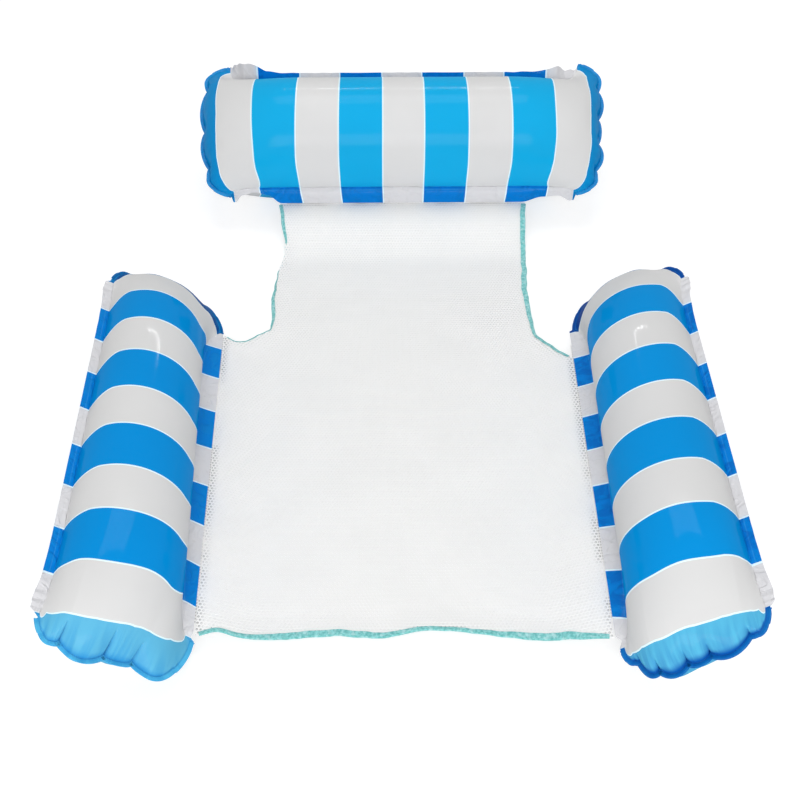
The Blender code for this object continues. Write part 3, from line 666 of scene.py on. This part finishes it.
# Right arm float: made as the left one is, from the same sheet turned round. Its ends pucker in other places,
# and its near end has a dark rim of painted shade where the film stands steep behind the weld.
right_bag = Bag(
    place=(0.2442, -0.2431), yaw=89.7,
    corners=((-0.0735, 0.0875), (-0.0775, 0.0863)),
    creases=((-0.717, -0.157, 0.161, 0.556, 0.802), (-0.603, -0.054, 0.496)),
    tips=((0.889, 0.958, 1.009, 0.997, 1.012, 0.982, 0.898, 0.850),
          (0.856, 0.946, 0.994, 0.994, 0.964, 0.838)),
    inner_held=((-0.305, 0), (-0.283, 1), (0.318, 1), (0.366, 0)), crease_run=(0.030, 0.045),
    drift=(0.0499, 0.1619, -0.168, -0.0144, 0.0199, -0.0011, -0.0017, -0.0089),
    inner_drift=(0.20, 0.0, 0.27), tip_drift=(-0.11, 0.0, 0.0), outer_drift=(0.02, -0.03, 0.05),
    bands=((1.70, 1.20, 1.17, 1.07, 1.09, 1.06, 1.05, 1.1, 1.28, 1.36, 1.41),
           (1.7, 1.45, 1.25, 1.12, 1.06, 1.06, 1.06, 1.1, 1.2, 1.35, 1.5)),
    widths=(1.03, 0.985), shifts=(0.001, -0.001), **arm_sheet)
# Painted light on the right arm: its far end band and hem are painted navy as painted shade, its near end
# band is its lighter print painted paler still as a painted highlight, and its near hem is painted dark as
# painted shade.
right_print = printed_film(
    "right_print", blue=(0.001, 0.27, 0.68), end_blues=((0.095, 0.46, 0.70), (0.003, 0.05, 0.26)),
    double_blue=(0.001, 0.22, 0.66), painted_shade_blue=(0.001, 0.09, 0.42),
    hem_blues=((0.006, 0.17, 0.52), (0.003, 0.05, 0.26)), white=(0.68, 0.68, 0.68), rim_shade_share=0.95)
add_float("right", right_bag, 0.140, right_print)


# Head float: the same print on a longer and wider sheet, so it blows up thicker. Its front flange stands
# nearly upright and holds the neck of the net, and its wide back flange has an ear turned up at one end.
head_bag = Bag(
    place=(0.0097, 0.3489), yaw=180.6, radius=0.0964, straight=0.170, reach=0.330,
    corners=((-0.1486, 0.1094), (-0.1440, 0.1100)),
    creases=((-0.566, -0.121, 0.268, 0.672), (-0.633, 0.039, 0.610)),
    tips=((0.906, 0.997, 0.997, 0.970, 0.973, 0.924, 0.833), (0.876, 0.979, 0.994, 0.976, 0.930, 0.827)),
    notch=0.010, roll=22, slope=84, bend_share=0.55,
    inner_held=((-0.352, 0), (-0.325, 0.8), (-0.29, 0.9), (-0.255, 0.5), (-0.225, 0.6), (-0.19, 1),
                (0.195, 1), (0.218, 0.35), (0.24, 0.12), (0.268, 0.3), (0.295, 0.85), (0.325, 0.85),
                (0.352, 0)),
    outer_held=((-0.33, 0.0), (-0.285, 0.55), (-0.26, 1.1), (-0.225, 1), (0.200, 1), (0.225, 1.15),
                (0.247, 1.60), (0.268, 1.45), (0.292, 0.95), (0.325, 0.35), (0.360, 0.0)),
    outer_flange=0.031, outer_lift=45, crease_run=(0.040, 0.040), held=(-0.35, 0.60),
    drift=(0.0174, 0.0032, -0.0265, 0.0021, -0.0119, 0.0011, -0.0027, 0.0127),
    inner_drift=(-0.01, 0.0, 0.04), tip_drift=(-0.08, 0.0, 0.10), outer_drift=(0.06, 0.0, -0.05),
    bands=((1.47, 1.3, 1.16, 1.1, 1.14, 1.17, 1.11, 1.13, 1.2, 1.23, 1.22),
           (1.5, 1.34, 1.16, 1.11, 1.09, 1.06, 1.09, 1.17, 1.18, 1.19, 1.18)))
# The head's folds before its hems take painted shade too.
head_print = printed_film(
    "head_print", blue=(0.008, 0.41, 0.77), end_blues=((0.003, 0.26, 0.61), (0.003, 0.26, 0.61)),
    double_blue=(0.002, 0.20, 0.65), painted_shade_blue=(0.002, 0.15, 0.48),
    hem_blues=((0.01, 0.29, 0.66), (0.01, 0.29, 0.66)), white=(0.71, 0.71, 0.71), rim_shade_share=0.6)
add_float("head", head_bag, 0.140, head_print)


# Hems of the net: the margins of the two panels, of the same white knit. Each lies between the two films of a
# float's inner flange, which are welded through its holes.
hem_depth = 0.0123
net_thread, net_tree, net_shader = new_material("net_thread")


def hem_strip(bag, start, end):
    """Both faces of a strip in the flange's slot, from its mouth down, between two places along it."""
    x, depth = np.meshgrid(np.linspace(start, end, 160), np.linspace(0, hem_depth, 6), indexing="ij")
    cos, sin = math.cos(bag.slope), math.sin(bag.slope)
    middle = np.stack([x, -depth * cos, depth * sin], axis=-1)
    half = 0.0005 * np.array([0, sin, cos])
    return bag.chair(middle + half), bag.chair(middle - half), np.stack([x, depth], axis=-1)


for name, bag, start, end in (("left", left_bag, -0.272, 0.240), ("right", right_bag, -0.240, 0.245),
                              ("head", head_bag, -0.184, 0.187)):
    over, under, spread = hem_strip(bag, start, end)
    strip = add_piece(name + "_hem_strip", closed_skin(name + "_hem_strip", over, under, {"cut": spread}),
                      name + "_float", "net_fabric", name + "_net_hem")
    strip.data.materials.append(net_thread)


# Net sling: a seat panel and a neck panel of white warp-knit net, joined by a narrow seam. It hangs from the
# two arm flanges and the head flange, and lies slack on the floor between them.
chair_middle = 0.0047
seat_front, front_wave = 0.51139, 0.0275
seat_corner, armpit_depth, seam_line = 0.0616, 0.084, 0.1351
head_line = 0.3489
neck_half, head_sag, arm_sag = 0.187, 0.120, 0.075
hinge_gap, seam_gap, net_lift, sheet_half = 0.00095, 0.0002, 0.0006, 0.00045
front_marks = (0.13, 0.28, 0.47, 0.5, 0.45, 0.47, 0.69, 0.49, 0.99, 0.84, 0.52, 0.39, 0.2, 0.13, 0.05, 0.0)
neck_marks = (((0.0, 1.01), (0.09, 1.0), (0.25, 1.02), (0.5, 1.005), (0.65, 0.963), (0.75, 0.97), (0.85, 1.0),
               (1.0, 1.03)),
              ((0.0, 1.035), (0.1, 1.027), (0.34, 1.019), (0.5, 1.035), (0.65, 1.042), (0.82, 1.05),
               (1.0, 1.07)))
armpit_marks = (((0.0, 0.0), (0.13, 0.11), (0.34, 0.32), (0.54, 0.51), (0.65, 0.54), (0.76, 0.55),
                 (0.88, 0.49), (1.0, 0.44)),
                ((0.0, 0.0), (0.04, 0.29), (0.15, 0.35), (0.36, 0.57), (0.46, 0.63), (0.66, 0.83),
                 (0.88, 0.97), (1.0, 1.0)))


def eased(place, marks, spread):
    """A line through marks with its corners rounded: the mean of the line over a short spread either side."""
    x, y = zip(*marks)
    offsets = np.linspace(-spread, spread, 9)
    return np.mean([np.interp(np.clip(place + step, 0, 1), x, y) for step in offsets], axis=0)


def arm_line(bag, y):
    """Where the net leaves an arm's flange, across the chair, at y."""
    return bag.place[0] + (y - bag.place[1]) / math.tan(bag.yaw)


def head_edge(x):
    """Where the net leaves the head's flange, up the chair, at x."""
    return head_bag.place[1] + (x - head_bag.place[0]) * math.tan(head_bag.yaw)


def neck_edge(side, y):
    """Where the neck's free edge lies, on side 0 or 1, at y."""
    place = (y - seat_corner) / (head_line - seat_corner)
    return chair_middle + (2 * side - 1) * neck_half * eased(place, neck_marks[side], 0.02)


def seat_surface(across, up):
    """Plan of the seat panel, straight from edge to edge. across runs from one arm to the other, with the
    neck between a quarter and three quarters, and up runs from the front to the armpits and the neck."""
    front = seat_front - front_wave * eased(across, tuple(zip(np.linspace(0, 1, 16), front_marks)), 0.02)
    left_top = seat_corner - armpit_depth * eased(1 - across * 4, armpit_marks[0], 0.01)
    right_top = seat_corner - armpit_depth * eased(across * 4 - 3, armpit_marks[1], 0.01)
    top = np.where(across < 0.25, left_top, np.where(across > 0.75, right_top, seat_corner))
    y = -front + (top + front) * up
    ends = (arm_line(left_bag, y) + hinge_gap, neck_edge(0, np.array(seat_corner)) + 0 * y,
            neck_edge(1, np.array(seat_corner)) + 0 * y, arm_line(right_bag, y) - hinge_gap)
    left = ends[0] + (ends[1] - ends[0]) * across * 4
    middle = ends[1] + (ends[2] - ends[1]) * (across * 2 - 0.5)
    right = ends[2] + (ends[3] - ends[2]) * (across * 4 - 3)
    return np.stack([np.where(across < 0.25, left, np.where(across > 0.75, right, middle)), y], axis=-1)


def neck_surface(across, y):
    """Plan of the neck: straight across from one free edge to the other at each y."""
    left, right = neck_edge(0, y), neck_edge(1, y)
    return np.stack([left + (right - left) * across, y], axis=-1)


across, up = np.meshgrid(np.linspace(0, 1, 201), np.linspace(0, 1, 151), indexing="ij")
seat_plan = seat_surface(across, up)
collar_rows = np.linspace(seat_corner, seam_line - seam_gap, 25)
neck_across, collar_y = np.meshgrid(np.linspace(0, 1, 101), collar_rows, indexing="ij")
collar_plan = neck_surface(neck_across, collar_y)
neck_across, neck_up = np.meshgrid(np.linspace(0, 1, 101), np.linspace(0, 1, 71), indexing="ij")
tip = head_edge(neck_surface(neck_across, neck_up * 0 + head_line)[..., 0]) - hinge_gap
neck_plan = neck_surface(neck_across, seam_line + seam_gap + (tip - seam_line - seam_gap) * neck_up)
free_edges = (
    np.concatenate([neck_plan[0, ::-1], collar_plan[0, ::-1], seat_plan[50::-1, -1]]),
    np.concatenate([neck_plan[-1, ::-1], collar_plan[-1, ::-1], seat_plan[150:, -1]]),
    seat_plan[:, 0],
)


def edge_distances(x, y):
    """How far a point lies from the nearest flange, and from the nearest free edge of the net."""
    flange = np.minimum(np.minimum(x - arm_line(left_bag, y), arm_line(right_bag, y) - x), head_edge(x) - y)
    edge = np.concatenate(free_edges)[::3]
    free = np.full(x.shape, 9.0)
    for start in range(0, len(edge), 40):
        some = edge[start:start + 40]
        free = np.minimum(free, np.hypot(x[..., None] - some[:, 0], y[..., None] - some[:, 1]).min(axis=-1))
    return flange, free


def lifted(plan):
    """Height over a plan: flat on the floor, up to the flanges by a cube, a little up at the free edges by
    another, and in slack waves as products of sines between."""
    x, y = plan[..., 0], plan[..., 1]
    _, free = edge_distances(x, y)
    head = fade((head_edge(x) - hinge_gap - y) / head_sag)
    arms = fade((x - arm_line(left_bag, y)) / arm_sag) + fade((arm_line(right_bag, y) - x) / arm_sag)
    arms = arms * fade((y - seat_corner) / arm_sag) * (1 - head)
    rise = arms * (left_bag.hinge - net_lift) + head * (head_bag.hinge - net_lift)
    lift = 0.0028 * fade(free / 0.035) * (1 - arms) * (1 - head)
    slack = np.sin(x * 31 + 2 * np.sin(y * 13)) * np.sin(y * 24 + 1.5 * np.sin(x * 17)) + 1
    slack = 0.0007 * slack * (1 - fade(free / 0.05)) * (1 - arms) * (1 - head)
    return np.concatenate([plan, (net_lift + rise + lift + slack)[..., None]], axis=-1)


def two_faced(name, grids):
    """A thin closed sheet from grids of points in the plan: its two faces, and a rim round their outline."""
    points, quads, start = [], [], 0
    for grid in grids:
        number, between = grid_quads(grid)
        quads.append(between + start)
        points.append(grid.reshape(-1, 3))
        start += number.size
    points, quads = np.concatenate(points), np.concatenate(quads)
    microns = np.round(points * 1e6).astype(np.int64)
    _, first, index = np.unique(microns, axis=0, return_index=True, return_inverse=True)
    points, quads = points[first], index.reshape(-1)[quads]
    edges = np.concatenate([quads[:, [k, (k + 1) % 4]] for k in range(4)])
    code = edges[:, 0] * len(points) + edges[:, 1]
    rim = edges[~np.isin(code, edges[:, 1] * len(points) + edges[:, 0])]
    walls = np.stack([rim[:, 1], rim[:, 0], rim[:, 0] + len(points), rim[:, 1] + len(points)], axis=1)
    half = np.array([0, 0, sheet_half])
    faces = np.concatenate([quads, quads[:, ::-1] + len(points), walls])
    edges = np.stack(edge_distances(points[:, 0], points[:, 1]), axis=-1)
    maps = {"cut": np.concatenate([points[:, :2]] * 2), "edges": np.concatenate([edges] * 2)}
    return mesh_of(name, np.concatenate([points + half, points - half]), faces, maps)


seat_mesh = two_faced("seat_net_sheet", [lifted(seat_plan), lifted(collar_plan)])
seat_sheet = add_piece("seat_net_sheet", seat_mesh, "sling", "net_fabric", "seat_net")
neck_mesh = two_faced("neck_net_sheet", [lifted(neck_plan)])
neck_sheet = add_piece("neck_net_sheet", neck_mesh, "sling", "net_fabric", "neck_net")

# Net material: staggered round eyelets in white knitted thread, a little rough and soft. Along the flanges
# the eyelets are painted darker in patches, a painted shade for the floor in shadow seen through them.
knit, given, put = add_group("net_eyelets", {"Pitch": 0.0045, "Eyelet": 0.00075},
                             ("Thread", "Ring", "Height"))
distances = []
for shift in (0.0, 0.5):
    parts = []
    for socket, stretch in zip(map_numbers(knit, "cut"), (1.0, 0.5)):
        scaled = add_math(knit, "DIVIDE", socket, given.outputs["Pitch"])
        scaled = add_math(knit, "MULTIPLY", scaled, stretch)
        cell = add_math(knit, "SUBTRACT", add_math(knit, "FRACT", add_math(knit, "ADD", scaled, shift)), 0.5)
        cell = add_math(knit, "DIVIDE", cell, stretch)
        parts.append(add_math(knit, "MULTIPLY", cell, given.outputs["Pitch"]))
    squares = [add_math(knit, "POWER", add_math(knit, "ABSOLUTE", part), 2.0) for part in parts]
    distances.append(add_math(knit, "SQRT", add_math(knit, "ADD", *squares)))
near = add_math(knit, "MINIMUM", *distances)
feed(knit, put, {"Thread": add_math(knit, "GREATER_THAN", near, given.outputs["Eyelet"]),
                 "Ring": smooth_mask(knit, near, 0.0011, 0.0018),
                 "Height": smooth_mask(knit, near, 0.001, 0.0024)})

tree, shader = net_tree, net_shader
eyelets = tree.nodes.new("ShaderNodeGroup")
eyelets.node_tree = knit
where = on_object(tree)
fuzz = add_noise(tree, where, 900, 3)
patch = add_noise(tree, where, 11, 4)
to_flange, _ = map_numbers(tree, "edges")
# Painted shade: darker rings round the eyelets near the flanges, in patches, and a trace everywhere.
flange_shade_share = add_math(tree, "SUBTRACT", 1.0, smooth_mask(tree, to_flange, 0.0005, 0.012))
flange_shade_share = add_math(tree, "MULTIPLY_ADD", flange_shade_share, smooth_mask(tree, patch, 0.42, 0.56), 0.03)
eyelet_shade = add_math(tree, "MULTIPLY", flange_shade_share, add_math(tree, "SUBTRACT", 1.0, eyelets.outputs["Ring"]))
shade = add_math(tree, "MULTIPLY", add_math(tree, "MULTIPLY_ADD", patch, 0.06, 0.96),
                 add_math(tree, "MULTIPLY_ADD", eyelet_shade, -0.6, 1.0))
colour = add_mix(tree, fuzz, (0.930, 0.923, 0.912), (0.960, 0.953, 0.942))
feed(tree, shader, {"Base Color": scale_colour(tree, colour, shade), "Alpha": eyelets.outputs["Thread"],
                    "Roughness": 0.85, "Sheen Weight": 0.15})
add_bump(tree, add_math(tree, "MULTIPLY_ADD", fuzz, 0.4, eyelets.outputs["Height"]), 0.0004)
seat_sheet.data.materials.append(net_thread)
neck_sheet.data.materials.append(net_thread)


# Edge tape: a narrow teal woven tape, folded over each free edge of the net and stitched down. It shows wide
# on the right of the neck and along the front, and it has rolled under on much of the left side.
def tape_run(edge, shown):
    """The line that a tape follows: an edge of the net, smoothed, with the directions out of the net and up.

    shown is how far the tape's top face reaches in over the net, at even steps along the edge. The wobble of
    the fold is two sines of uneven pitch.
    """
    flat = lifted(edge)
    length = np.concatenate([[0], np.cumsum(np.linalg.norm(np.diff(flat, axis=0), axis=1))])
    keep = np.concatenate([[True], np.diff(length) > 1e-6])
    flat, length = flat[keep], length[keep]
    end_gap, pitch, smoothing = 0.0042, 0.0022, 0.004
    step = np.linspace(end_gap, length[-1] - end_gap, int(length[-1] / pitch))
    spread = np.linspace(-smoothing, smoothing, 7)
    nearby = [np.stack([np.interp(step + shift, length, flat[:, k]) for k in range(3)], axis=1)
              for shift in spread]
    line = np.mean(nearby, axis=0)
    ahead = unit(np.gradient(line, axis=0))
    side = unit(np.cross(ahead, np.array([0, 0, 1.0])))
    middle = np.array([chair_middle, -0.1, 0])
    side = side * np.sign(((line - middle) * side).sum(axis=1).mean())
    side = unit(line - lifted((line - 0.007 * side)[:, :2]))
    up = np.cross(side, ahead)
    up = up * np.sign(up[:, 2:])
    share = (step - step[0]) / (step[-1] - step[0])
    top = np.interp(share, np.linspace(0, 1, len(shown)), shown)
    wobble = 0.0005 * np.sin(step * 110 + 3 * np.sin(step * 37))
    wobble = wobble + 0.0002 * np.sin(step * 260 + 3 * np.sin(step * 61))
    return line, side, up, top, wobble, length[-1]


def tape_mesh(name, edge, shown, rolled, under=0.0072, outer=0.00155, inner=0.00110):
    """Both faces of a folded tape: each runs over the edge, round a half circle and back under it.

    rolled is how far the tape has rolled under the net, at even steps along the edge, as a share. outer and
    inner are the half circles' radii.
    """
    line, side, up, top, wobble, length = tape_run(edge, shown)
    roll = np.interp(np.linspace(0, 1, len(line)), np.linspace(0, 1, len(rolled)), rolled)[:, None]
    part, bend = np.linspace(0, 1, 9), np.linspace(math.pi / 2, -math.pi / 2, 9)
    faces = []
    for half in (outer, inner):
        over = -top[:, None] * (1 - part)
        across = np.concatenate([over, np.broadcast_to(half * np.cos(bend), over.shape),
                                 np.broadcast_to(-under * part, over.shape)], axis=1)
        high = np.concatenate([np.full(over.shape, half), np.broadcast_to(half * np.sin(bend), over.shape),
                               np.full(over.shape, -half)], axis=1)
        across, high = across + wobble[:, None] - 0.0016 * roll, high - 0.0013 * roll
        faces.append(line[:, None] + across[..., None] * side[:, None] + high[..., None] * up[:, None])
    run = np.linspace(0, length, len(line))
    spread = np.stack(np.broadcast_arrays(run[:, None], np.linspace(0, 0.018, faces[0].shape[1])), axis=-1)
    return closed_skin(name, faces[0], faces[1], {"cut": spread}), length


tape_weave, tree, shader = new_material("tape_weave")
where = tree.nodes.new("ShaderNodeUVMap")
where.uv_map = "cut"
wave = tree.nodes.new("ShaderNodeTexWave")
wave.wave_type = "BANDS"
wave.bands_direction = "DIAGONAL"
feed(tree, wave, {"Vector": where.outputs[0], "Scale": 420, "Distortion": 2.0})
fuzz = add_noise(tree, where.outputs[0], 260, 4)
colour = add_mix(tree, smooth_mask(tree, fuzz, 0.36, 0.64), (0.11, 0.50, 0.49), (0.28, 0.73, 0.72))
# Paler patches at random over the tape.
pale_patches = smooth_mask(tree, add_noise(tree, where.outputs[0], 150, 5), 0.48, 0.68)
colour = add_mix(tree, add_math(tree, "MULTIPLY", pale_patches, 0.6), colour, (0.58, 0.88, 0.88))
feed(tree, shader, {"Base Color": colour, "Roughness": 0.9, "Sheen Weight": 0.3})
add_bump(tree, add_math(tree, "ADD", wave.outputs["Fac"], fuzz), 0.0003)

for name, edge, shown, rolled in (
    ("left", free_edges[0], (0.004, 0.004, 0.002, 0.0008, 0.0008, 0.003, 0.004, 0.001, 0.0008, 0.0008),
     (0, 0.3, 0.9, 1, 0.6, 0, 0, 0.7, 0.5, 0.5)),
    ("right", free_edges[1], (0.006, 0.007, 0.006, 0.006, 0.007, 0.006, 0.005, 0.003, 0.0028, 0.003), (0, 0)),
    ("front", free_edges[2],
     (0.003, 0.0035, 0.0065, 0.007, 0.0065, 0.004, 0.003, 0.004, 0.0075, 0.0085, 0.0035), (0, 0)),
):
    mesh, length = tape_mesh(name + "_tape_strip", edge, shown, rolled)
    tape = add_piece(name + "_tape_strip", mesh, "sling", "edge_tape", name + "_edge_tape")
    tape.data.materials.append(tape_weave)


# Valves: each is moulded in soft milky PVC. A flat ring is welded inside the film, a stem with a lip and a
# flap pops out of a round well, and a plug on a bent tether closes it.
valve_milk, tree, shader = new_material("valve_milk")
haze = add_noise(tree, on_object(tree), 220, 3)
milk = add_mix(tree, haze, (0.66, 0.70, 0.73), (0.82, 0.84, 0.85))
feed(tree, shader, {"Base Color": milk, "Roughness": add_math(tree, "MULTIPLY_ADD", haze, 0.2, 0.22),
                    "Subsurface Weight": 0.2, "Subsurface Scale": 0.002})
add_bump(tree, haze, 0.0002)
for name in ("left", "right", "head"):
    for part in ("ring", "well", "stem", "flap", "tether", "plug"):
        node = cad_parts[name + "_valve_" + part]
        node.data.materials.clear()
        node.data.materials.append(valve_milk)
